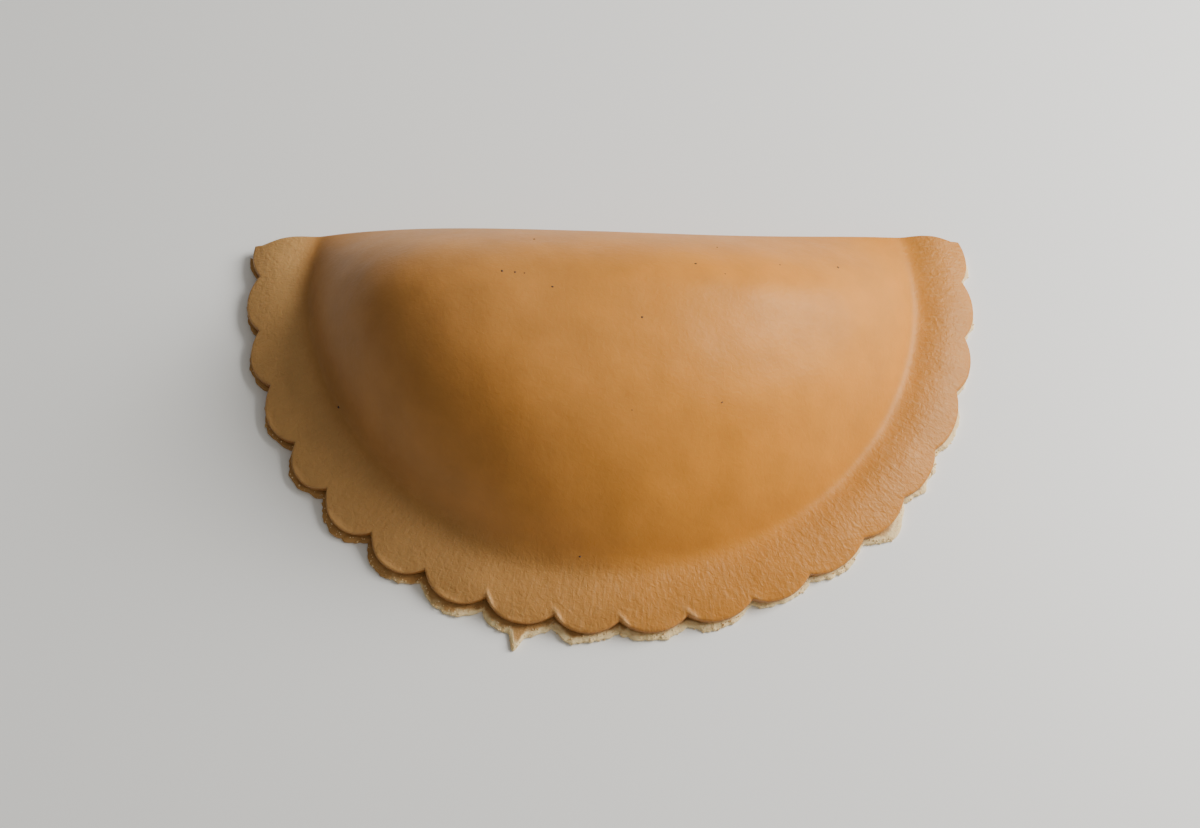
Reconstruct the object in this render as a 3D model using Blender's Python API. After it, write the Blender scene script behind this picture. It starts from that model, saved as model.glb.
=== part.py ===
"""A raw empanada: a half-moon turnover of folded dough with a fluted rim, lying flat.

Two solids in the collection "empanada": the filled turnover, with its fold, dome and fluted
flange, and the thin lower dough, whose torn edge shows all round the rim and which runs on under
the filling. Units are metres and +Z is up. X runs along the fold and +Y points to it.
Plan shapes are worked out about the centre of the round cutter and then moved, so that the
origin is under the middle of the whole part, on the table.
"""

import math

import bmesh
import bpy
from mathutils import Vector

# The round fluted cutter. Angles are in degrees, anticlockwise from +X.
FLUTE_PITCH = 10.05
FIRST_NOTCH = 178.3
WHOLE_FLUTES = 18
# Degrees that a notch lies off the even pitch, by its number from the left end of the fold.
NOTCH_SLIPS = {3: 0.7, 8: 0.3, 12: -0.4, 14: -0.6, 15: -0.95, 18: 0.4}
TIP_RADIUS = 0.0662
NOTCH_RADIUS = 0.0643
FLUTE_STEPS = 7

# The fold, a nearly straight edge behind the cutter's centre, drawn in at the plump end.
LEFT_CORNER = 172.4
RIGHT_CORNER = 367.6
FOLD_Y = 0.0102
FOLD_DRAWN_IN = 0.0026
DRAWN_IN_AT_X = 0.0225
DRAWN_IN_WIDTH = 0.0357
FOLD_STEPS = 60
FOLD_END_CROWDING = 0.65
CORNER_INSET = 0.0009

# The dome over the filling, with its peak over the dome's centre. It ends on a round foot, which
# swells a little in front, and the fold cuts it off behind, short of where it would come down.
DOME_CENTRE = Vector((-0.0150, -0.0166))
DOME_PEAK = 0.0262
FOOT_RADIUS = 0.0545
BACK_CUT_OFF = 0.0040
FRONT_SWELL = 0.0019
FRONT_WIDTH = 38.0
# The dome's profile outward, 1 at the peak and 0 at the foot: (1 - share**fullness)**flare.
# Its wall is fuller and steeper away from the plump direction, and rounder toward it.
PLUMP_DIRECTION = -60.0
DOME_FULLNESS = 2.9
PLUMP_FULLNESS = -0.5
DOME_FLARE = 0.55
PLUMP_FLARE = 0.24
BACK_FULLNESS = 2.0
BACK_FLARE = 1.3
FOOT_SLACK = 0.12
# The fillet between the dome and the flange.
LEAST_FILLET = 0.0022
WIDE_FILLET = 0.0034
WIDE_DIRECTION = 160.0
FRONT_FILLET = 0.0019

# The flange that the rim is pressed to.
FLANGE_FOOT_Z = 0.0034
FLANGE_CROWN = 0.0008
FLANGE_DROOP = 0.0012
RIM_EQUATOR_Z = 0.0019
RIM_ROUNDING = 0.0007

# The fold's rounding, from its pressed ends to its full middle.
FOLD_END_ROUNDING = 0.0014
FOLD_FULL_ROUNDING = 0.0055
FOLD_END_EQUATOR_Z = 0.0016
FOLD_FULL_EQUATOR_Z = 0.0055

# The lower dough and the space that it takes.
LOWER_THICKNESS = 0.0010
CLEARANCE = 0.0003
LOWER_BACK_INSET = 0.0030
LOWER_EDGE_STEPS = 14

# How far apart the body's rings lie: shares of the edge rounding, then of the way to the centre.
ROUNDING_STOPS = (0.0, 0.03, 0.14, 0.38)
INNER_STOPS = (1.0, 0.975, 0.945, 0.91, 0.875, 0.84, 0.80, 0.76, 0.71, 0.64, 0.55, 0.44, 0.31, 0.16)
UNDER_STOPS = (0.03, 0.16, 0.45, 1.0)

# From the cutter's centre to the part's origin, which is under the middle of the whole.
ORIGIN_IN_PLAN = Vector((0.000144, -0.029207))


def swell(angle, centre, width):
    """A smooth bump of height 1 at an angle, fading over a width; all in degrees."""
    off = (angle - centre + 180) % 360 - 180
    return math.exp(-((off / width) ** 2))


def at_angle(radius, angle):
    return Vector((math.cos(math.radians(angle)), math.sin(math.radians(angle)))) * radius


def notch_angle(number):
    return FIRST_NOTCH + FLUTE_PITCH * number + NOTCH_SLIPS.get(number, 0.0)


def rim_radius(angle, share):
    """The upper dough's edge, at a share from 0 to 1 of the way across its flute."""
    tip = TIP_RADIUS + 0.0010 * swell(angle, 226, 32)
    notch = NOTCH_RADIUS + 0.0006 * swell(angle, 318, 26)
    return notch + (tip - notch) * (1 - abs(2 * share - 1) ** 2.2)


def bump(x, centre, width):
    return math.exp(-(((x - centre) / width) ** 2))


def fold_fullness(x):
    """How far the fold is filled out at x: 0 at its pressed ends and 1 in the middle."""
    return max(0.0, 1 - abs(x / FOOT_RADIUS) ** 3)


def fold_y(x):
    corners = 0.0015 * bump(abs(x), TIP_RADIUS, 0.004)
    return FOLD_Y - corners - FOLD_DRAWN_IN * bump(x, DRAWN_IN_AT_X, DRAWN_IN_WIDTH)


def fluted_edge(steps, radius_at):
    """Points from the left end of the fold round the front to its right end."""
    points = []
    for number in range(-1, WHOLE_FLUTES + 1):
        start, end = notch_angle(number), notch_angle(number + 1)
        for step in range(steps):
            share = step / steps
            angle = start + (end - start) * share
            if LEFT_CORNER <= angle <= RIGHT_CORNER:
                points.append(at_angle(radius_at(angle, share), angle))
    return points


def body_outline():
    """The body's plan, anticlockwise, and for each point how full the fold is there, or None."""
    rim = fluted_edge(FLUTE_STEPS, rim_radius)
    left, right = rim[0].x + CORNER_INSET, rim[-1].x - CORNER_INSET
    outline = [(point, None) for point in rim]
    for step in range(FOLD_STEPS + 1):
        even = 1 - 2 * step / FOLD_STEPS
        way = even + (math.sin(math.pi / 2 * even) - even) * FOLD_END_CROWDING
        x = (left + right) / 2 + (right - left) / 2 * way
        outline.append((Vector((x, fold_y(x))), fold_fullness(x)))
    return outline


def foot_distance(angle):
    """From the dome's centre to its round foot."""
    along = DOME_CENTRE.dot(at_angle(1.0, angle))
    radius = FOOT_RADIUS + FRONT_SWELL * swell(angle, 270, FRONT_WIDTH)
    return -along + math.sqrt(along**2 + radius**2 - DOME_CENTRE.length_squared)


def dome_height(point):
    """The dome over the flange. Past its foot it runs on down, and a fillet joins the two."""
    offset = point - DOME_CENTRE
    angle = math.degrees(math.atan2(offset.y, offset.x))
    to_foot = offset.length / foot_distance(angle)
    to_back = max(0.0, offset.y) / (fold_y(point.x) + BACK_CUT_OFF - DOME_CENTRE.y)
    plump = (0.5 + 0.5 * math.cos(math.radians(angle - PLUMP_DIRECTION))) ** 2
    flare = DOME_FLARE + PLUMP_FLARE * plump
    rise = 1 - to_foot ** (DOME_FULLNESS + PLUMP_FULLNESS * plump)
    wall = (max(rise, 0.0) + FOOT_SLACK) ** flare - FOOT_SLACK**flare
    wall += min(rise, 0.0) * flare * FOOT_SLACK ** (flare - 1)
    body = DOME_PEAK * wall / ((1 + FOOT_SLACK) ** flare - FOOT_SLACK**flare)
    wide = 0.5 + 0.5 * math.cos(math.radians(angle - WIDE_DIRECTION))
    fillet = LEAST_FILLET + WIDE_FILLET * wide + FRONT_FILLET * swell(angle, 270, FRONT_WIDTH)
    fillet *= min(1.0, to_foot) ** 2
    return (body + math.hypot(body, fillet)) / 2 * (1 - to_back**BACK_FULLNESS) ** BACK_FLARE


def flange_height(point):
    """The pressed flange: a shallow valley along the dome, a low crown and a drooping edge."""
    across = (point.length - FOOT_RADIUS) / (TIP_RADIUS - FOOT_RADIUS)
    across = min(1.0, max(0.0, across))
    crown = FLANGE_CROWN * math.sin(math.pi * across)
    return FLANGE_FOOT_Z + crown - FLANGE_DROOP * across**2


def rounded(share):
    """A quarter round: 0 at the edge, with an upright tangent, and 1 from the share 1 on."""
    return math.sqrt(1 - (1 - min(1.0, share)) ** 2)


def edge_rounding(fullness):
    """The plan width of the edge's rounding and the height of its outermost line."""
    if fullness is None:
        return RIM_ROUNDING, RIM_EQUATOR_Z
    width = FOLD_END_ROUNDING + (FOLD_FULL_ROUNDING - FOLD_END_ROUNDING) * fullness
    height = FOLD_END_EQUATOR_Z + (FOLD_FULL_EQUATOR_Z - FOLD_END_EQUATOR_Z) * fullness
    return width, height


def body_rings(edge, fullness):
    """One radial line of the body, from just off its top centre to just off its bottom centre.

    The inner points lie on calmer and calmer lines, so that the flutes stay near the edge.
    """
    width, equator = edge_rounding(fullness)
    inward = (DOME_CENTRE - edge).normalized()
    start = edge + inward * width
    calm = start if fullness is not None else start * ((NOTCH_RADIUS - RIM_ROUNDING) / start.length)
    line = []
    for stop in reversed(INNER_STOPS):
        outer = calm.lerp(start, stop**4)
        point = DOME_CENTRE.lerp(outer, stop)
        line.append((point, flange_height(point) + dome_height(point)))
    for stop in reversed(ROUNDING_STOPS):
        point = edge + inward * width * stop
        top = flange_height(point) + dome_height(point)
        line.append((point, equator + (top - equator) * rounded(stop)))
    for stop in UNDER_STOPS:
        line.append((edge + inward * width * stop, equator * (1 - rounded(stop))))
    return line


def placed(point, height):
    return Vector((point.x - ORIGIN_IN_PLAN.x, point.y - ORIGIN_IN_PLAN.y, height))


def add_to(collection, name, mesh, material):
    part = bpy.data.objects.new(name, mesh)
    part.data.materials.append(material)
    collection.objects.link(part)
    return part


def make_body_mesh():
    """A sphere's grid, whose meridians are drawn along the plan's radial lines."""
    lines = [body_rings(edge, fullness) for edge, fullness in body_outline()]
    meridians, bands = len(lines), len(lines[0]) + 1
    shell = bmesh.new()
    bmesh.ops.create_uvsphere(shell, u_segments=meridians, v_segments=bands, radius=1.0)
    for vertex in shell.verts:
        band = round(math.acos(max(-1.0, min(1.0, vertex.co.z))) / math.pi * bands)
        if band in (0, bands):
            peak = flange_height(DOME_CENTRE) + dome_height(DOME_CENTRE)
            vertex.co = placed(DOME_CENTRE, peak if band == 0 else 0.0)
            continue
        turn = math.atan2(vertex.co.y, vertex.co.x) / math.tau
        point, height = lines[round(turn * meridians) % meridians][band - 1]
        vertex.co = placed(point, height)
    mesh = bpy.data.meshes.new("empanada")
    shell.to_mesh(mesh)
    shell.free()
    mesh.shade_smooth()
    mesh.set_sharp_from_angle(angle=math.radians(50))
    return mesh


def lower_radius(angle, share):
    """The lower dough's edge: the same flutes, pushed further out in front and torn."""
    reach = 0.0002 + 0.0014 * swell(angle, 246, 32) + 0.0004 * swell(angle, 318, 45)
    reach += 0.0007 * swell(angle, 5, 5) + 0.0007 * swell(angle, 173, 3)
    flutes = rim_radius(angle, share)
    tear = 0.00022 * math.sin(math.radians(angle * 61)) + 0.00016 * math.sin(math.radians(angle * 97))
    tongue = 0.0030 * swell(angle, 254.4, 0.9)
    lobe = 0.0013 * swell(angle, 313.2, 2.8)
    return flutes + reach + tear + tongue + lobe


def lower_outline(grow):
    """The lower dough's plan, grown by a margin; its back edge lies under the fold."""
    rim = fluted_edge(LOWER_EDGE_STEPS, lower_radius)
    rim = [point for point in rim if point.y < FOLD_Y - LOWER_BACK_INSET]
    outline = [point * (1 + grow / point.length) for point in rim]
    left, right = rim[0].x, rim[-1].x
    for step in range(1, FOLD_STEPS):
        x = right + (left - right) * step / FOLD_STEPS
        width, _ = edge_rounding(fold_fullness(x))
        outline.append(Vector((x, fold_y(x) - LOWER_BACK_INSET - width * 0.5 + grow)))
    return outline


def make_plate_mesh(name, outline, low, high):
    """A flat plate with upright sides over an outline."""
    plate = bmesh.new()
    floor = plate.faces.new([plate.verts.new(placed(point, low)) for point in outline])
    raised = bmesh.ops.extrude_face_region(plate, geom=[floor])
    risen = [item for item in raised["geom"] if isinstance(item, bmesh.types.BMVert)]
    bmesh.ops.translate(plate, verts=risen, vec=(0, 0, high - low))
    bmesh.ops.recalc_face_normals(plate, faces=plate.faces)
    mesh = bpy.data.meshes.new(name)
    plate.to_mesh(mesh)
    plate.free()
    return mesh


def make_material(name, colour, roughness):
    material = bpy.data.materials.new(name)
    material.use_nodes = True
    surface = material.node_tree.nodes["Principled BSDF"]
    surface.inputs["Base Color"].default_value = (*colour, 1.0)
    surface.inputs["Roughness"].default_value = roughness
    surface.inputs["Metallic"].default_value = 0.0
    return material


def clear_scene():
    for old in list(bpy.data.objects):
        bpy.data.objects.remove(old)


def main():
    clear_scene()
    parts = bpy.data.collections.new("empanada")
    cutters = bpy.data.collections.new("cutters")
    bpy.context.scene.collection.children.link(parts)
    bpy.context.scene.collection.children.link(cutters)
    dough = make_material("corn_dough", (0.68, 0.36, 0.13), 0.45)
    pale = make_material("pale_dough", (0.80, 0.66, 0.42), 0.75)

    body = add_to(parts, "empanada", make_body_mesh(), dough)
    lower = make_plate_mesh("lower_dough", lower_outline(0.0), 0.0, LOWER_THICKNESS)
    add_to(parts, "lower_dough", lower, pale)

    pocket = make_plate_mesh(
        "lower_pocket", lower_outline(CLEARANCE), -0.001, LOWER_THICKNESS + CLEARANCE
    )
    cutter = add_to(cutters, "lower_pocket", pocket, pale)
    cutter.hide_render = True
    cutter.display_type = "WIRE"
    cut = body.modifiers.new("lower_pocket", "BOOLEAN")
    cut.object = cutter
    cut.operation = "DIFFERENCE"


main()
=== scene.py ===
import math

import bpy
import numpy as np
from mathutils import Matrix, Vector


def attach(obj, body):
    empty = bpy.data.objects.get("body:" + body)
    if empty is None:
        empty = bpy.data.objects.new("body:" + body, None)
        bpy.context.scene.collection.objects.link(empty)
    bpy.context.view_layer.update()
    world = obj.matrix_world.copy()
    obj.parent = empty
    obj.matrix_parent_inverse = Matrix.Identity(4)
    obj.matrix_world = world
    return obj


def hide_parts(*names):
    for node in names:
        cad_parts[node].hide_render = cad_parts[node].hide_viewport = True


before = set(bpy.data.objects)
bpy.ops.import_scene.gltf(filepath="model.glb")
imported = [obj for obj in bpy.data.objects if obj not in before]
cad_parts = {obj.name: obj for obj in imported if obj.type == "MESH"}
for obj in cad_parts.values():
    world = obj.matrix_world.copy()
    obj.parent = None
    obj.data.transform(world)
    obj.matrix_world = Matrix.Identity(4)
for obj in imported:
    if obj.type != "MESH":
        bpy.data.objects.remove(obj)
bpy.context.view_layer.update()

# Sizes in metres, angles in degrees. Plan shapes are worked out about the centre of the round
# cutter, and then moved to the place of that centre in the frame.
CUTTER_CENTRE = (-0.000144, 0.029207)

FLUTE_PITCH = 10.05
FIRST_NOTCH = 178.3
WHOLE_FLUTES = 18
NOTCH_SLIPS = {3: 0.7, 8: 0.3, 12: -0.4, 14: -0.6, 15: -0.95, 18: 0.4}
TIP_RADIUS = 0.0662
NOTCH_RADIUS = 0.0643

LEFT_CORNER = 172.4
RIGHT_CORNER = 367.6
FOLD_Y = 0.01017
FOLD_DRAWN_IN = 0.0026
DRAWN_IN_AT_X = 0.0225
DRAWN_IN_WIDTH = 0.0357
CORNER_INSET = 0.0009

DOME_X, DOME_Y = -0.0150, -0.0166
DOME_PEAK = 0.02614
FOOT_RADIUS = 0.0545
BACK_CUT_OFF = 0.0040
PLUMP_DIRECTION = -60.0
DOME_FULLNESS = 2.9
PLUMP_FULLNESS = -0.5
DOME_FLARE = 0.55
PLUMP_FLARE = 0.24
BACK_FULLNESS = 2.0
BACK_FLARE = 1.3
FOOT_SLACK = 0.12
FRONT_SWELL = 0.0019
FRONT_WIDTH = 38.0
LEAST_FILLET = 0.0022
WIDE_FILLET = 0.0034
WIDE_DIRECTION = 160.0
FRONT_FILLET = 0.0019

FLANGE_FOOT_Z = 0.0034
FLANGE_CROWN = 0.0008
FLANGE_DROOP = 0.0012
LIP_ROUNDING = 0.00045
CUT_FOOT_Z = 0.0013

FOLD_END_ROUNDING = 0.0014
FOLD_FULL_ROUNDING = 0.0055
FOLD_END_EQUATOR_Z = 0.0016
FOLD_FULL_EQUATOR_Z = 0.0055

LOWER_THICKNESS = 0.0010
LOWER_BACK_INSET = 0.0030

# Notches whose dough was pushed up on one side by the cutter, by their number, and how high.
PUSHED_UP = {7: 0.00045, 8: 0.00035, 9: 0.00030, 10: 0.00026, 11: 0.00010}


# ---------------------------------------------------------------- the dough's shape

def swell(angle, centre, width):
    """A smooth bump of height 1 at an angle, fading over a width."""
    off = (angle - centre + 180) % 360 - 180
    return np.exp(-((off / width) ** 2))


def notch_angle(number):
    return FIRST_NOTCH + FLUTE_PITCH * number + NOTCH_SLIPS.get(number, 0.0)


def rim_radius(angle, share):
    tip = TIP_RADIUS + 0.0010 * swell(angle, 226, 32)
    notch = NOTCH_RADIUS + 0.0006 * swell(angle, 318, 26)
    return notch + (tip - notch) * (1 - np.abs(2 * share - 1) ** 2.2)


def fluted_line(steps):
    """Angles round the rim from the fold's left end to its right end, and shares of a flute."""
    angles, shares = [], []
    for number in range(-1, WHOLE_FLUTES + 1):
        start, end = notch_angle(number), notch_angle(number + 1)
        for step in range(steps):
            angle = start + (end - start) * step / steps
            if LEFT_CORNER <= angle <= RIGHT_CORNER:
                angles.append(angle)
                shares.append(step / steps)
    return np.array(angles), np.array(shares)


def around(angle, radius):
    """Plan points at angles and radii about the cutter's centre."""
    turn = np.radians(angle)
    return np.stack((radius * np.cos(turn), radius * np.sin(turn)), -1)


def fold_fullness(x):
    return np.maximum(0.0, 1 - np.abs(x / FOOT_RADIUS) ** 3)


def fold_y(x):
    corners = 0.0015 * np.exp(-(((np.abs(x) - TIP_RADIUS) / 0.004) ** 2))
    drawn_in = FOLD_DRAWN_IN * np.exp(-(((x - DRAWN_IN_AT_X) / DRAWN_IN_WIDTH) ** 2))
    return FOLD_Y - corners - drawn_in


def foot_distance(angle):
    turn = np.radians(angle)
    along = DOME_X * np.cos(turn) + DOME_Y * np.sin(turn)
    radius = FOOT_RADIUS + FRONT_SWELL * swell(angle, 270, FRONT_WIDTH)
    return -along + np.sqrt(along**2 + radius**2 - DOME_X**2 - DOME_Y**2)


def dome_height(x, y):
    """The dome over the flange. Past its foot it runs on down, and a fillet joins the two."""
    off_x, off_y = x - DOME_X, y - DOME_Y
    angle = np.degrees(np.arctan2(off_y, off_x))
    to_foot = np.hypot(off_x, off_y) / foot_distance(angle)
    to_back = np.maximum(0.0, off_y) / (fold_y(x) + BACK_CUT_OFF - DOME_Y)
    plump = (0.5 + 0.5 * np.cos(np.radians(angle - PLUMP_DIRECTION))) ** 2
    flare = DOME_FLARE + PLUMP_FLARE * plump
    rise = 1 - to_foot ** (DOME_FULLNESS + PLUMP_FULLNESS * plump)
    wall = (np.maximum(rise, 0) + FOOT_SLACK) ** flare - FOOT_SLACK**flare
    wall += np.minimum(rise, 0) * flare * FOOT_SLACK ** (flare - 1)
    body = DOME_PEAK * wall / ((1 + FOOT_SLACK) ** flare - FOOT_SLACK**flare)
    wide = 0.5 + 0.5 * np.cos(np.radians(angle - WIDE_DIRECTION))
    fillet = LEAST_FILLET + WIDE_FILLET * wide + FRONT_FILLET * swell(angle, 270, FRONT_WIDTH)
    fillet *= np.minimum(1.0, to_foot) ** 2
    return (body + np.hypot(body, fillet)) / 2 * (1 - to_back**BACK_FULLNESS) ** BACK_FLARE


def pressed_share(x, y):
    """How far the dough was pressed flat: 0 on the dome and 1 on the flange."""
    share = (np.hypot(x, y) - FOOT_RADIUS + 0.001) / 0.005
    share = np.clip(share, 0, 1)
    return share * share * (3 - 2 * share)


def flange_height(x, y):
    across = (np.hypot(x, y) - FOOT_RADIUS) / (TIP_RADIUS - FOOT_RADIUS)
    across = np.clip(across, 0, 1)
    crown = FLANGE_CROWN * np.sin(math.pi * across)
    return FLANGE_FOOT_Z + crown - FLANGE_DROOP * across**2


def pushed_up_height(x, y):
    """Small ridges that the cutter pushed up beside some notches."""
    radius = np.hypot(x, y)
    angle = np.degrees(np.arctan2(y, x)) % 360
    height = np.zeros_like(x)
    for number, ridge in PUSHED_UP.items():
        beside = notch_angle(number) + 0.55 + (radius - NOTCH_RADIUS) * 700
        across = (angle - beside) * np.radians(1) * radius
        along = (radius - NOTCH_RADIUS - 0.0002) / 0.0011
        height += ridge * np.exp(-((across / 0.00030) ** 2) - along**2)
    return height


def top_height(x, y):
    return flange_height(x, y) + dome_height(x, y) + pushed_up_height(x, y)


def lay_skin(name, lines, top, bottom):
    """Wraps a grid over the lines of a closed shape, from the point below to the point on top.

    Gives the piece, and for each vertex its line, counted from 1 at the top, and its meridian.
    """
    meridians = len(lines[0])
    rows = len(lines) + 2
    bpy.ops.object.select_all(action="DESELECT")
    bpy.ops.mesh.primitive_grid_add(x_subdivisions=meridians, y_subdivisions=rows - 1, size=1.0)
    skin = bpy.context.object
    skin.name = name
    skin.data.name = name
    co = np.empty(len(skin.data.vertices) * 3)
    skin.data.vertices.foreach_get("co", co)
    co = co.reshape(-1, 3)
    meridian = np.rint((co[:, 0] + 0.5) * meridians).astype(int) % meridians
    line = rows - 1 - np.rint((co[:, 1] + 0.5) * (rows - 1)).astype(int)
    ends = np.repeat([[top], [bottom]], meridians, axis=1)
    grid = np.concatenate((ends[:1], lines, ends[1:]))
    places = grid[line, meridian]
    skin.data.vertices.foreach_set("co", (places + (*CUTTER_CENTRE, 0.0)).ravel())
    skin.data.update()
    return skin, places, line, meridian


def close_skin(skin):
    """Joins the grid's seam and its two ends."""
    bpy.ops.object.select_all(action="DESELECT")
    skin.select_set(True)
    bpy.context.view_layer.objects.active = skin
    bpy.ops.object.mode_set(mode="EDIT")
    bpy.ops.mesh.select_all(action="SELECT")
    bpy.ops.mesh.remove_doubles(threshold=2e-7)
    bpy.ops.object.mode_set(mode="OBJECT")


def mark(piece, name, values):
    """Stores a mask over the surface, which the materials read by its name."""
    attribute = piece.data.attributes.new(name, "FLOAT", "POINT")
    attribute.data.foreach_set("value", values.astype(np.float32))


def mark_round(piece, name, x, y):
    """Stores each point's place as a distance round the rim and one outward from its centre."""
    turn = np.degrees(np.arctan2(y, x)) % 360
    turn = np.where(turn < 90, turn + 360, turn)
    place = np.column_stack((np.radians(turn) * TIP_RADIUS, np.hypot(x, y), np.zeros_like(x)))
    attribute = piece.data.attributes.new(name, "FLOAT_VECTOR", "POINT")
    attribute.data.foreach_set("vector", place.astype(np.float32).ravel())


RIM_STEPS = 24
FOLD_POINTS = 150
TOP_BANDS = 120
ROUND_BANDS = 8
SIDE_BANDS = 4
UNDER_BANDS = 4


def make_filled_dough():
    """The folded turnover: rim, flange, dome and fold on one grid of radial lines."""
    angles, shares = fluted_line(RIM_STEPS)
    rim = around(angles, rim_radius(angles, shares))
    smooth_rim = around(angles, np.full(len(angles), NOTCH_RADIUS - 0.0007))
    fold_x = np.linspace(rim[-1, 0] - CORNER_INSET, rim[0, 0] + CORNER_INSET, FOLD_POINTS)
    fold = np.stack((fold_x, fold_y(fold_x)), -1)
    edge = np.concatenate((rim, fold))
    full = np.concatenate((np.zeros(len(rim)), fold_fullness(fold_x)))
    is_fold = np.arange(len(edge)) >= len(rim)
    width = np.where(
        is_fold,
        FOLD_END_ROUNDING + (FOLD_FULL_ROUNDING - FOLD_END_ROUNDING) * full,
        LIP_ROUNDING,
    )
    equator = FOLD_END_EQUATOR_Z + (FOLD_FULL_EQUATOR_Z - FOLD_END_EQUATOR_Z) * full
    centre = np.array((DOME_X, DOME_Y))
    inward = centre - edge
    inward /= np.linalg.norm(inward, axis=1)[:, None]

    def inset(amount):
        return edge + inward * amount[:, None]

    start = inset(width)
    calm = np.where(is_fold[:, None], start, np.concatenate((smooth_rim, fold)))
    lines = []
    for band in range(1, TOP_BANDS + 1):
        stop = band / TOP_BANDS
        outer = calm + (start - calm) * stop**4
        plan = centre + (outer - centre) * stop
        lines.append(np.column_stack((plan, top_height(plan[:, 0], plan[:, 1]))))
    for band in range(1, ROUND_BANDS + 1):
        turn = math.pi / 2 * band / ROUND_BANDS
        plan = inset(width * (1 - math.sin(turn)))
        top = top_height(plan[:, 0], plan[:, 1])
        drop = np.where(is_fold, top - equator, LIP_ROUNDING)
        lines.append(np.column_stack((plan, top - drop * (1 - math.cos(turn)))))
    rim_top = lines[-1][:, 2]
    for band in range(1, SIDE_BANDS + 1):
        share = band / SIDE_BANDS
        turn = math.pi / 2 * share
        rim_z = rim_top + (CUT_FOOT_Z - rim_top) * share
        tuck = np.where(is_fold, width * (1 - math.cos(turn)), 0.00025 * share**3)
        z = np.where(is_fold, equator * (1 - math.sin(turn)), rim_z)
        lines.append(np.column_stack((inset(tuck), z)))
    step_in = np.where(is_fold, LOWER_BACK_INSET + width * 0.5 - 0.0005, 0.002)
    step_in = np.maximum(step_in, width + 0.0002)
    for band, sink in ((1, 1.0), (2, 0.0)):
        z = np.where(is_fold, CUT_FOOT_Z * (1 - sink), CUT_FOOT_Z)
        lines.append(np.column_stack((inset(step_in + 0.0002 * band), z)))
    for band in range(1, UNDER_BANDS + 1):
        share = 1 - band / (UNDER_BANDS + 1)
        plan = centre + (inset(step_in + 0.0004) - centre) * share
        lines.append(np.column_stack((plan, np.full(len(edge), CUT_FOOT_Z))))

    peak = (DOME_X, DOME_Y, float(top_height(np.array(DOME_X), np.array(DOME_Y))))
    skin, places, line, meridian = lay_skin(
        "filled_dough", np.array(lines), peak, (DOME_X, DOME_Y, CUT_FOOT_Z)
    )
    # The rim's cut side, which the material paints a darker brown as painted shade.
    cut = (line > TOP_BANDS + ROUND_BANDS - 3) & ~is_fold[meridian]
    mark(skin, "shaded_cut_side", cut * 1.0)
    mark(skin, "pressed", pressed_share(places[:, 0], places[:, 1]))
    mark_round(skin, "round_rim", places[:, 0], places[:, 1])
    # The pushed-up ridges' mask, which the material uses to paint a highlight on them.
    lip = pushed_up_height(places[:, 0], places[:, 1]) / 0.0003
    mark(skin, "pushed_up", np.where(line <= TOP_BANDS + ROUND_BANDS, np.clip(lip, 0, 1), 0))
    close_skin(skin)
    return skin


def wander(angle, period, seed):
    """A smooth random line round the rim, between -1 and 1, that joins up with itself."""
    count = max(4, round(360 / period))
    values = np.random.RandomState(seed).uniform(-1, 1, count)
    place = (angle % 360) / 360 * count
    low = np.floor(place).astype(int)
    share = place - low
    share = share * share * (3 - 2 * share)
    return values[low % count] * (1 - share) + values[(low + 1) % count] * share


def lower_radius(angle, share):
    """The lower dough's torn edge: the rim's flutes pushed outward, with ragged breaks."""
    reach = 0.0002 + 0.0014 * swell(angle, 246, 32) + 0.0004 * swell(angle, 318, 45)
    reach += 0.0005 * swell(angle, 5, 5) + 0.0007 * swell(angle, 173, 3)
    smooth_lobe = swell(angle, 313.2, 3.4)
    ragged = 0.00034 * wander(angle, 2.4, 1) + 0.00020 * wander(angle, 0.9, 2)
    ragged += 0.00012 * wander(angle, 0.4, 3)
    tongue = 0.0030 * swell(angle, 254.4, 0.75)
    lobe = 0.0014 * swell(angle, 313.2, 2.6)
    return rim_radius(angle, share) + reach + ragged * (1 - smooth_lobe) + tongue + lobe


LOWER_STEPS = 60
LOWER_FOLD_POINTS = 240


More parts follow.
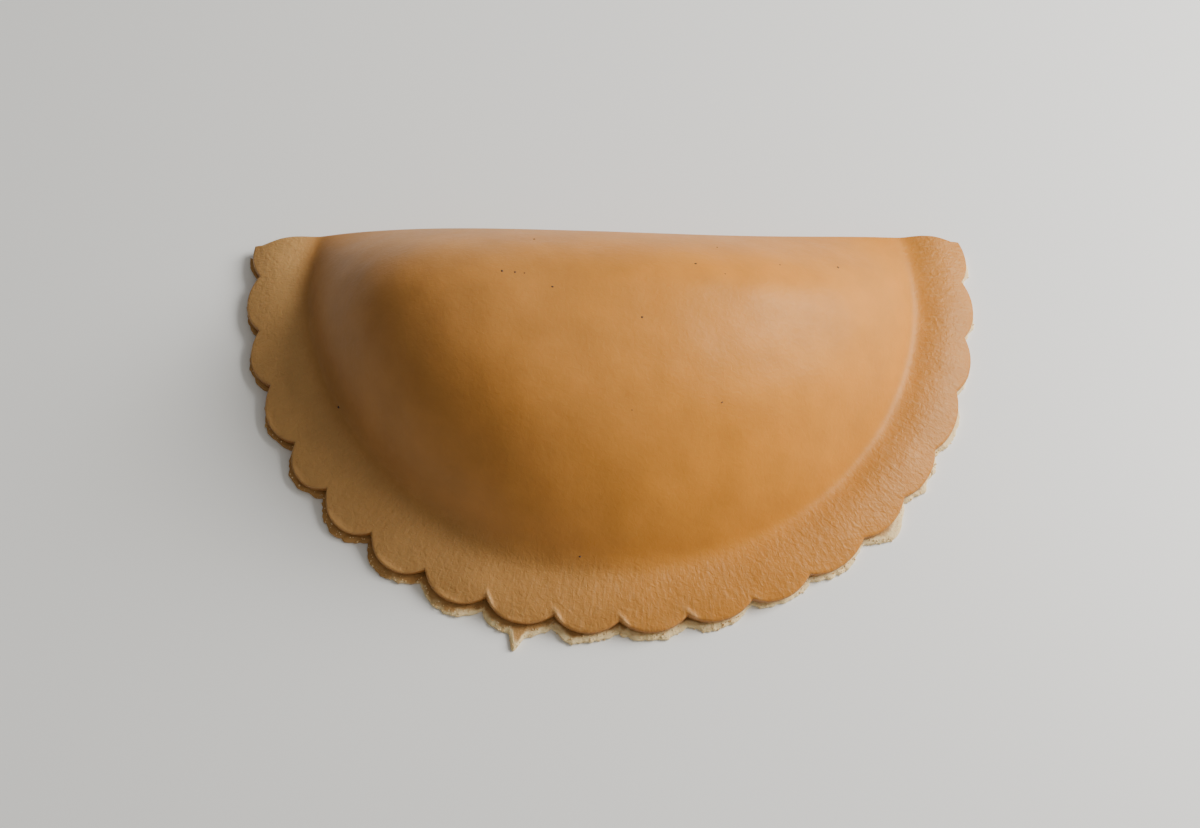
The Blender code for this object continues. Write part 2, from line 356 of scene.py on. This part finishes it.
def make_lower_dough():
    """The thin lower dough, flat underneath, with its edge torn thin."""
    angles, shares = fluted_line(LOWER_STEPS)
    rim = around(angles, lower_radius(angles, shares))
    kept = rim[:, 1] < FOLD_Y - LOWER_BACK_INSET
    rim, angles = rim[kept], angles[kept]
    x = np.linspace(rim[-1, 0], rim[0, 0], LOWER_FOLD_POINTS + 2)[1:-1]
    width = FOLD_END_ROUNDING + (FOLD_FULL_ROUNDING - FOLD_END_ROUNDING) * fold_fullness(x)
    back = np.stack((x, fold_y(x) - LOWER_BACK_INSET - width * 0.5), -1)
    edge = np.concatenate((rim, back))
    turns = np.concatenate((angles, np.full(len(back), 90.0)))
    centre = np.array((0.0, -0.022))
    inward = centre - edge
    inward /= np.linalg.norm(inward, axis=1)[:, None]
    thin = 0.00045 + 0.00018 * wander(turns, 0.8, 5) + 0.0002 * wander(turns, 3.0, 6)
    thin = np.maximum(0.0002, thin)
    lines = []
    torn = [0.0]
    for share in (0.25, 0.5, 0.75, 0.88):
        plan = centre + (edge - centre) * share
        lines.append(np.column_stack((plan, np.full(len(edge), LOWER_THICKNESS - 0.0001))))
        torn.append(0.0)
    for inset_mm in (4.0, 3.2, 2.6, 2.1, 1.7, 1.35, 1.05, 0.8, 0.6, 0.42, 0.27, 0.14, 0.05):
        plan = edge + inward * inset_mm * 0.001
        rise = 1 - math.exp(-inset_mm / 0.55)
        full = LOWER_THICKNESS - 0.00008 + 0.00008 * wander(turns + inset_mm * 40, 0.7, 7)
        lines.append(np.column_stack((plan, thin + (full - thin) * rise)))
        torn.append(math.exp(-inset_mm / 0.8))
    lines.append(np.column_stack((edge, thin * 0.6)))
    lines.append(np.column_stack((edge + inward * 0.00004, thin * 0.15)))
    for inset_mm in (0.15, 2.0, 12.0):
        plan = edge + inward * inset_mm * 0.001
        lines.append(np.column_stack((plan, np.zeros(len(edge)))))
    torn += [1.0, 1.0, 0.5, 0.3, 0.0, 0.0]

    skin, places, line, meridian = lay_skin(
        "torn_lower_dough",
        np.array(lines),
        (centre[0], centre[1], LOWER_THICKNESS - 0.0001),
        (centre[0], centre[1], 0.0),
    )
    # Painted shade in part: the edge turns cream only where it is torn and lit, on the front and
    # right. To the left and at the back it stays brown, and so does the inside under the rim.
    dry_and_lit = np.clip((turns - 228) / 22, 0.12, 2) + swell(turns, 313.2, 3.4)
    dry_and_lit += swell(turns, 254.4, 1.2)
    mark(skin, "torn", np.minimum(np.array(torn)[line] * dry_and_lit[meridian], 1))
    close_skin(skin)
    return skin


CRUMB_COUNT = 520
SPECK_COUNT = 15


def scatter_bits(name, faces_level, places, sizes, flatness, seed):
    """Copies a small rough ball to each place, turned at random, and joins them in one piece."""
    random = np.random.RandomState(seed)
    bpy.ops.object.select_all(action="DESELECT")
    bpy.ops.mesh.primitive_ico_sphere_add(subdivisions=faces_level, radius=0.5)
    first = bpy.context.object
    bits = []
    for place, size in zip(places, sizes):
        bit = first.copy()
        bit.data = first.data.copy()
        shape = np.empty(len(bit.data.vertices) * 3)
        bit.data.vertices.foreach_get("co", shape)
        shape = shape.reshape(-1, 3) * random.uniform(0.7, 1.15, (len(shape) // 3, 1))
        turn = random.uniform(0, math.tau)
        spin = np.array(
            ((math.cos(turn), -math.sin(turn), 0), (math.sin(turn), math.cos(turn), 0), (0, 0, 1))
        )
        stretch = np.array((1.0, random.uniform(0.6, 1.0), flatness))
        shape = (shape * stretch * size) @ spin.T + place + (*CUTTER_CENTRE, 0.0)
        bit.data.vertices.foreach_set("co", shape.ravel())
        bpy.context.scene.collection.objects.link(bit)
        bits.append(bit)
    bpy.data.objects.remove(first)
    for bit in bits:
        bit.select_set(True)
    bpy.context.view_layer.objects.active = bits[0]
    bpy.ops.object.join()
    piece = bpy.context.object
    piece.name = name
    piece.data.name = name
    return piece


def make_crumbs():
    """Crumbs of torn dough on the lower dough's edge and close in front of it."""
    random = np.random.RandomState(11)
    angles, shares = fluted_line(LOWER_STEPS)
    weight = 0.10 + swell(angles, 262, 34) + 0.7 * swell(angles, 312, 22)
    weight *= lower_radius(angles, shares) - rim_radius(angles, shares) > 0.0004
    chosen = random.choice(len(angles), CRUMB_COUNT, p=weight / weight.sum())
    angle, share = angles[chosen], shares[chosen]
    sizes = random.uniform(0.00014, 0.00046, CRUMB_COUNT) * random.uniform(0.6, 1, CRUMB_COUNT)
    edge = lower_radius(angle, share)
    out = random.uniform(-0.0011, 0.00010, CRUMB_COUNT)
    radius = np.maximum(edge + out, rim_radius(angle, share) + sizes * 0.4)
    inside = np.maximum(edge - radius, 0)
    ground = np.where(inside > 0.00002, 0.00035 + 0.0005 * (1 - np.exp(-inside / 0.00055)), 0.0)
    z = ground + sizes * 0.46
    plan = around(angle, radius)
    return scatter_bits("edge_crumbs", 1, np.column_stack((plan, z)), sizes, 0.75, 12)


def make_specks():
    """Small dark flecks of bran, pressed into the dough's top."""
    random = np.random.RandomState(5)
    angle = random.uniform(178, 368, SPECK_COUNT)
    radius = random.uniform(0.12, 0.86, SPECK_COUNT) * TIP_RADIUS
    plan = around(angle, radius)
    sizes = random.uniform(0.00028, 0.00062, SPECK_COUNT)
    z = top_height(plan[:, 0], plan[:, 1]) - sizes * 0.02
    return scatter_bits("bran_specks", 2, np.column_stack((plan, z)), sizes, 0.22, 6)


def smooth_shade(piece, degrees=50):
    bpy.ops.object.select_all(action="DESELECT")
    piece.select_set(True)
    bpy.context.view_layer.objects.active = piece
    bpy.ops.object.shade_smooth_by_angle(angle=math.radians(degrees))


# ---------------------------------------------------------------- displacement

def roughen(piece, scale, height, detail=2, group=None, kind="CLOUDS"):
    """Raises and lowers the surface with soft lumps of one size, and bakes that into it."""
    texture = bpy.data.textures.new(f"{piece.name}_lumps", kind)
    texture.noise_scale = scale
    texture.noise_depth = detail
    bpy.context.view_layer.objects.active = piece
    lumps = piece.modifiers.new("lumps", "DISPLACE")
    lumps.texture = texture
    lumps.texture_coords = "LOCAL"
    lumps.strength = height
    lumps.mid_level = 0.5
    if group:
        lumps.vertex_group = group
    bpy.ops.object.modifier_apply(modifier=lumps.name)


# ---------------------------------------------------------------- materials

def new_material(name):
    material = bpy.data.materials.new(name)
    material.use_nodes = True
    return material, material.node_tree


def add(tree, kind, **inputs):
    node = tree.nodes.new(kind)
    for name, value in inputs.items():
        node.inputs[name].default_value = value
    return node


def link(tree, source, output, target, socket):
    """Links two sockets, named, or counted where several share a name."""
    tree.links.new(source.outputs[output], target.inputs[socket])


def ramp(tree, low, high, low_value=0.0, high_value=1.0):
    node = tree.nodes.new("ShaderNodeMapRange")
    node.inputs["From Min"].default_value = low
    node.inputs["From Max"].default_value = high
    node.inputs["To Min"].default_value = low_value
    node.inputs["To Max"].default_value = high_value
    return node


def mix_colour(tree, colour=None, blend="MIX"):
    node = tree.nodes.new("ShaderNodeMix")
    node.data_type = "RGBA"
    node.blend_type = blend
    if colour:
        node.inputs["B"].default_value = (*colour, 1)
    return node


def make_grain_group():
    """Fine wrinkled grain of kneaded dough, as a height between about 0 and 1."""
    group = bpy.data.node_groups.new("dough_grain", "ShaderNodeTree")
    interface = group.interface
    for name, value in (("Grain Scale", 1200.0), ("Wrinkle Scale", 420.0)):
        socket = interface.new_socket(name, in_out="INPUT", socket_type="NodeSocketFloat")
        socket.default_value = value
    interface.new_socket("Height", in_out="OUTPUT", socket_type="NodeSocketFloat")
    nodes, links = group.nodes, group.links
    entry = nodes.new("NodeGroupInput")
    leave = nodes.new("NodeGroupOutput")
    place = nodes.new("ShaderNodeTexCoord")
    grain = nodes.new("ShaderNodeTexNoise")
    grain.inputs["Detail"].default_value = 2.5
    grain.inputs["Roughness"].default_value = 0.55
    grain.inputs["Distortion"].default_value = 0.6
    wrinkle = nodes.new("ShaderNodeTexNoise")
    wrinkle.inputs["Detail"].default_value = 3.0
    wrinkle.inputs["Distortion"].default_value = 1.2
    half = nodes.new("ShaderNodeMath")
    half.operation = "MULTIPLY_ADD"
    half.inputs[1].default_value = 0.55
    links.new(place.outputs["Object"], grain.inputs["Vector"])
    links.new(place.outputs["Object"], wrinkle.inputs["Vector"])
    links.new(entry.outputs["Grain Scale"], grain.inputs["Scale"])
    links.new(entry.outputs["Wrinkle Scale"], wrinkle.inputs["Scale"])
    links.new(wrinkle.outputs["Fac"], half.inputs[0])
    links.new(grain.outputs["Fac"], half.inputs[2])
    links.new(half.outputs["Value"], leave.inputs["Height"])
    return group


def make_streak_group():
    """Short streaks running outward across the pressed flange, from 0 to 1: bumps, and painted
    sheen as a paler tint.
    """
    group = bpy.data.node_groups.new("flange_streaks", "ShaderNodeTree")
    group.interface.new_socket("Height", in_out="OUTPUT", socket_type="NodeSocketFloat")
    nodes, links = group.nodes, group.links
    leave = nodes.new("NodeGroupOutput")
    place = nodes.new("ShaderNodeAttribute")
    place.attribute_name = "round_rim"
    stretch = nodes.new("ShaderNodeVectorMath")
    stretch.operation = "MULTIPLY"
    stretch.inputs[1].default_value = (1.0, 0.22, 0.0)
    marks = nodes.new("ShaderNodeTexNoise")
    marks.inputs["Scale"].default_value = 1700.0
    marks.inputs["Detail"].default_value = 2.0
    marks.inputs["Distortion"].default_value = 0.4
    links.new(place.outputs["Vector"], stretch.inputs[0])
    links.new(stretch.outputs["Vector"], marks.inputs["Vector"])
    links.new(marks.outputs["Fac"], leave.inputs["Height"])
    return group


def make_corn_dough(grain_group, streak_group):
    """Golden corn dough, with painted light: lighter and more orange toward +X, the window's
    side, and darker and tan toward -X, in shade. Where pressed it is browner and paler, partly
    its own drier tone and partly painted sheen.
    """
    material, tree = new_material("corn_dough")
    surface = tree.nodes["Principled BSDF"]
    surface.inputs["Subsurface Weight"].default_value = 0.10
    surface.inputs["Subsurface Radius"].default_value = (0.0024, 0.0010, 0.0004)
    surface.inputs["Subsurface Scale"].default_value = 1.0
    place = tree.nodes.new("ShaderNodeTexCoord")

    # Painted light: from -X to +X the colour runs from darker tan, in shade, to lighter orange on
    # the window's side. The noise makes the change wander.
    drift = add(tree, "ShaderNodeTexNoise", Scale=45.0, Detail=2.0)
    link(tree, place, "Object", drift, "Vector")
    apart = tree.nodes.new("ShaderNodeSeparateXYZ")
    link(tree, place, "Object", apart, "Vector")
    along = tree.nodes.new("ShaderNodeMath")
    along.operation = "MULTIPLY_ADD"
    along.inputs[1].default_value = 0.020
    link(tree, drift, "Fac", along, 0)
    link(tree, apart, "X", along, 2)
    painted_window_light = ramp(tree, -0.050, 0.040)
    painted_window_light.interpolation_type = "SMOOTHSTEP"
    link(tree, along, "Value", painted_window_light, "Value")
    domed = mix_colour(tree, (0.58, 0.215, 0.020))
    domed.inputs["A"].default_value = (0.43, 0.200, 0.060, 1)
    link(tree, painted_window_light, "Result", domed, "Factor")
    # On the flange the colour is partly the dough's own drier tone and partly painted sheen, a
    # paler tint where it catches the window.
    pressed = mix_colour(tree, (0.47, 0.182, 0.026))
    pressed.inputs["A"].default_value = (0.50, 0.275, 0.098, 1)
    link(tree, painted_window_light, "Result", pressed, "Factor")
    press = tree.nodes.new("ShaderNodeAttribute")
    press.attribute_name = "pressed"
    base = mix_colour(tree)
    link(tree, press, "Fac", base, "Factor")
    link(tree, domed, "Result", base, "A")
    link(tree, pressed, "Result", base, "B")

    mottle = add(tree, "ShaderNodeTexNoise", Scale=130.0, Detail=4.0, Roughness=0.6)
    link(tree, place, "Object", mottle, "Vector")
    mottle_range = ramp(tree, 0.30, 0.70, 0.92, 1.08)
    link(tree, mottle, "Fac", mottle_range, "Value")
    fine = mix_colour(tree, blend="MULTIPLY")
    fine.inputs["Factor"].default_value = 1.0
    link(tree, base, "Result", fine, "A")
    link(tree, mottle_range, "Result", fine, "B")

    # Painted sheen: a paler tint along the streaks on the flange, where their ridges catch the
    # window.
    streak_colours = tree.nodes.new("ShaderNodeGroup")
    streak_colours.node_tree = streak_group
    painted_streak_sheen = ramp(tree, 0.52, 0.72, 0.0, 0.28)
    link(tree, streak_colours, "Height", painted_streak_sheen, "Value")
    on_flange = tree.nodes.new("ShaderNodeMath")
    on_flange.operation = "MULTIPLY"
    link(tree, painted_streak_sheen, "Result", on_flange, 0)
    link(tree, press, "Fac", on_flange, 1)
    with_streak_sheen = mix_colour(tree, (0.58, 0.31, 0.12))
    link(tree, fine, "Result", with_streak_sheen, "A")
    link(tree, on_flange, "Value", with_streak_sheen, "Factor")

    # Painted shade: the rim's cut side is a darker brown, as it lies in shade.
    side = tree.nodes.new("ShaderNodeAttribute")
    side.attribute_name = "shaded_cut_side"
    painted_side_shade = mix_colour(tree, (0.36, 0.15, 0.035))
    link(tree, with_streak_sheen, "Result", painted_side_shade, "A")
    link(tree, side, "Fac", painted_side_shade, "Factor")

    # Painted highlight: the ridges pushed up beside some notches are paler, where they catch the
    # window.
    lip = tree.nodes.new("ShaderNodeAttribute")
    lip.attribute_name = "pushed_up"
    lip_highlight_share = ramp(tree, 0.0, 1.0, 0.0, 0.8)
    link(tree, lip, "Fac", lip_highlight_share, "Value")
    painted_lip_highlight = mix_colour(tree, (0.62, 0.38, 0.17))
    link(tree, painted_side_shade, "Result", painted_lip_highlight, "A")
    link(tree, lip_highlight_share, "Result", painted_lip_highlight, "Factor")
    link(tree, painted_lip_highlight, "Result", surface, "Base Color")

    swells = add(tree, "ShaderNodeTexNoise", Scale=95.0, Detail=1.0)
    link(tree, place, "Object", swells, "Vector")
    uneven = add(tree, "ShaderNodeBump", Strength=1.0, Distance=0.0005)
    link(tree, swells, "Fac", uneven, "Height")

    streaks = tree.nodes.new("ShaderNodeGroup")
    streaks.node_tree = streak_group
    streaked = add(tree, "ShaderNodeBump", Distance=0.00006)
    link(tree, press, "Fac", streaked, "Strength")
    link(tree, streaks, "Height", streaked, "Height")
    link(tree, uneven, "Normal", streaked, "Normal")

    grain = tree.nodes.new("ShaderNodeGroup")
    grain.node_tree = grain_group
    grain.inputs["Grain Scale"].default_value = 1150.0
    grain.inputs["Wrinkle Scale"].default_value = 420.0
    coarse = ramp(tree, 0.0, 1.0, 0.22, 0.75)
    link(tree, press, "Fac", coarse, "Value")
    bump = add(tree, "ShaderNodeBump", Distance=0.00020)
    link(tree, coarse, "Result", bump, "Strength")
    link(tree, grain, "Height", bump, "Height")
    link(tree, streaked, "Normal", bump, "Normal")
    link(tree, bump, "Normal", surface, "Normal")
    rough = ramp(tree, 0.4, 1.1, 0.52, 0.42)
    link(tree, grain, "Height", rough, "Value")
    link(tree, rough, "Result", surface, "Roughness")
    surface.inputs["Specular IOR Level"].default_value = 0.32
    surface.inputs["Specular Tint"].default_value = (1.0, 0.84, 0.62, 1)
    return material


def make_pale_dough(grain_group):
    material, tree = new_material("pale_dough")
    surface = tree.nodes["Principled BSDF"]
    surface.inputs["Subsurface Weight"].default_value = 0.15
    surface.inputs["Subsurface Radius"].default_value = (0.0015, 0.0010, 0.0006)
    surface.inputs["Subsurface Scale"].default_value = 1.0
    place = tree.nodes.new("ShaderNodeTexCoord")
    mottle = add(tree, "ShaderNodeTexNoise", Scale=260.0, Detail=3.0, Roughness=0.6)
    link(tree, place, "Object", mottle, "Vector")
    mottle_range = ramp(tree, 0.3, 0.7)
    link(tree, mottle, "Fac", mottle_range, "Value")
    # Brown where the lower dough is not torn or lies in shade: partly its own moist tone and
    # partly painted shade. Cream on the dry, lit torn edge.
    moist_and_shaded = mix_colour(tree, (0.50, 0.27, 0.085))
    moist_and_shaded.inputs["A"].default_value = (0.40, 0.20, 0.055, 1)
    link(tree, mottle_range, "Result", moist_and_shaded, "Factor")
    crust = mix_colour(tree, (0.86, 0.66, 0.36))
    crust.inputs["A"].default_value = (0.82, 0.58, 0.27, 1)
    link(tree, mottle_range, "Result", crust, "Factor")
    torn = tree.nodes.new("ShaderNodeAttribute")
    torn.attribute_name = "torn"
    patchy = tree.nodes.new("ShaderNodeMath")
    patchy.operation = "MULTIPLY_ADD"
    patchy.inputs[1].default_value = 0.5
    link(tree, mottle_range, "Result", patchy, 0)
    link(tree, torn, "Fac", patchy, 2)
    dry_and_lit_share = ramp(tree, 0.50, 0.80)
    link(tree, patchy, "Value", dry_and_lit_share, "Value")
    base = mix_colour(tree)
    link(tree, moist_and_shaded, "Result", base, "A")
    link(tree, crust, "Result", base, "B")
    link(tree, dry_and_lit_share, "Result", base, "Factor")
    link(tree, base, "Result", surface, "Base Color")
    grain = tree.nodes.new("ShaderNodeGroup")
    grain.node_tree = grain_group
    grain.inputs["Grain Scale"].default_value = 1900.0
    grain.inputs["Wrinkle Scale"].default_value = 800.0
    bump = add(tree, "ShaderNodeBump", Strength=1.0, Distance=0.00014)
    link(tree, grain, "Height", bump, "Height")
    link(tree, bump, "Normal", surface, "Normal")
    rough = ramp(tree, 0.4, 1.1, 0.85, 0.65)
    link(tree, grain, "Height", rough, "Value")
    link(tree, rough, "Result", surface, "Roughness")
    return material


def make_crumb_dough():
    material, tree = new_material("crumb_dough")
    surface = tree.nodes["Principled BSDF"]
    surface.inputs["Roughness"].default_value = 0.8
    place = tree.nodes.new("ShaderNodeTexCoord")
    change = add(tree, "ShaderNodeTexNoise", Scale=900.0, Detail=1.0)
    link(tree, place, "Object", change, "Vector")
    share = ramp(tree, 0.35, 0.65)
    link(tree, change, "Fac", share, "Value")
    base = mix_colour(tree, (0.90, 0.72, 0.42))
    base.inputs["A"].default_value = (0.76, 0.48, 0.18, 1)
    link(tree, share, "Result", base, "Factor")
    link(tree, base, "Result", surface, "Base Color")
    return material


def make_bran():
    material, tree = new_material("bran")
    surface = tree.nodes["Principled BSDF"]
    surface.inputs["Base Color"].default_value = (0.06, 0.028, 0.012, 1)
    surface.inputs["Roughness"].default_value = 0.6
    return material


# ---------------------------------------------------------------- stage, light and camera

def make_floor():
    bpy.ops.object.select_all(action="DESELECT")
    bpy.ops.mesh.primitive_plane_add(size=6.0, location=(0, 0, -0.00002))
    floor = bpy.context.object
    floor.name = "floor"
    material, tree = new_material("floor_board")
    surface = tree.nodes["Principled BSDF"]
    surface.inputs["Base Color"].default_value = (0.86, 0.86, 0.84, 1)
    surface.inputs["Roughness"].default_value = 0.45
    floor.data.materials.append(material)
    return floor


def add_area_light(name, size, power, place, aim, colour):
    light = bpy.data.lights.new(name, "AREA")
    light.shape = "RECTANGLE"
    light.size, light.size_y = size
    light.energy = power
    light.color = colour
    lamp = bpy.data.objects.new(name, light)
    lamp.location = place
    lamp.rotation_euler = (Vector(aim) - Vector(place)).to_track_quat("-Z", "Y").to_euler()
    bpy.context.scene.collection.objects.link(lamp)
    return lamp


CAMERA_PLACE = Vector((*CUTTER_CENTRE, 0.0)) + Vector((-0.01648, -0.13995, 0.23916))
CAMERA_AIM = Vector((*CUTTER_CENTRE, 0.0)) + Vector((-0.003458, -0.02684, 0.003193))
CAMERA_ROLL = 5.188


def add_camera():
    data = bpy.data.cameras.new("camera")
    data.lens = 45.0
    data.sensor_width = 36.0
    data.clip_start = 0.01
    camera = bpy.data.objects.new("camera", data)
    bpy.context.scene.collection.objects.link(camera)
    camera.location = CAMERA_PLACE
    turn = (CAMERA_AIM - CAMERA_PLACE).to_track_quat("-Z", "Y")
    camera.rotation_euler = turn.to_euler()
    camera.rotation_euler.rotate_axis("Z", math.radians(CAMERA_ROLL))
    bpy.context.scene.camera = camera


WINDOW_TURN = 15.0
WINDOW_RISE = 36.0
WINDOW_DISTANCE = 0.54
WINDOW_SIZE = 0.31
WINDOW_POWER = 5.1
ROOM_STRENGTH = 0.38
ROOM_SLANT = 0.95


def light_scene():
    """A window low on the right, and a dim room that is brighter on the window's side."""
    world = bpy.data.worlds.new("room")
    bpy.context.scene.world = world
    world.use_nodes = True
    tree = world.node_tree
    sky = tree.nodes["Background"]
    sky.inputs["Color"].default_value = (1.0, 0.97, 0.91, 1)
    way = tree.nodes.new("ShaderNodeTexCoord")
    apart = tree.nodes.new("ShaderNodeSeparateXYZ")
    link(tree, way, "Generated", apart, "Vector")
    strength = ramp(tree, -1.0, 1.0, 1 - ROOM_SLANT, 1 + ROOM_SLANT)
    strength.inputs["To Min"].default_value *= ROOM_STRENGTH
    strength.inputs["To Max"].default_value *= ROOM_STRENGTH
    slant = tree.nodes.new("ShaderNodeMath")
    slant.operation = "MULTIPLY_ADD"
    slant.inputs[1].default_value = 0.05
    link(tree, apart, "Y", slant, 0)
    link(tree, apart, "X", slant, 2)
    link(tree, slant, "Value", strength, "Value")
    link(tree, strength, "Result", sky, "Strength")
    turn, rise = math.radians(WINDOW_TURN), math.radians(WINDOW_RISE)
    towards = Vector(
        (math.cos(rise) * math.cos(turn), math.cos(rise) * math.sin(turn), math.sin(rise))
    )
    middle = Vector((*CUTTER_CENTRE, 0.0))
    add_area_light(
        "window",
        (WINDOW_SIZE, WINDOW_SIZE),
        WINDOW_POWER,
        middle + towards * WINDOW_DISTANCE,
        middle,
        (1.0, 0.99, 0.97),
    )


# ---------------------------------------------------------------- put together

grain_group = make_grain_group()
corn_dough = make_corn_dough(grain_group, make_streak_group())
pale_dough = make_pale_dough(grain_group)

filled_dough = make_filled_dough()
filled_dough.data.materials.append(corn_dough)
smooth_shade(filled_dough, 60)
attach(filled_dough, "root")
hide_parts("empanada")

torn_lower_dough = make_lower_dough()
torn_lower_dough.data.materials.append(pale_dough)
smooth_shade(torn_lower_dough, 60)
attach(torn_lower_dough, "root")
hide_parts("lower_dough")

edge_crumbs = make_crumbs()
edge_crumbs.data.materials.clear()
edge_crumbs.data.materials.append(make_crumb_dough())
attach(edge_crumbs, "root")

bran_specks = make_specks()
bran_specks.data.materials.clear()
bran_specks.data.materials.append(make_bran())
smooth_shade(bran_specks, 60)
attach(bran_specks, "root")

make_floor()
light_scene()
add_camera()
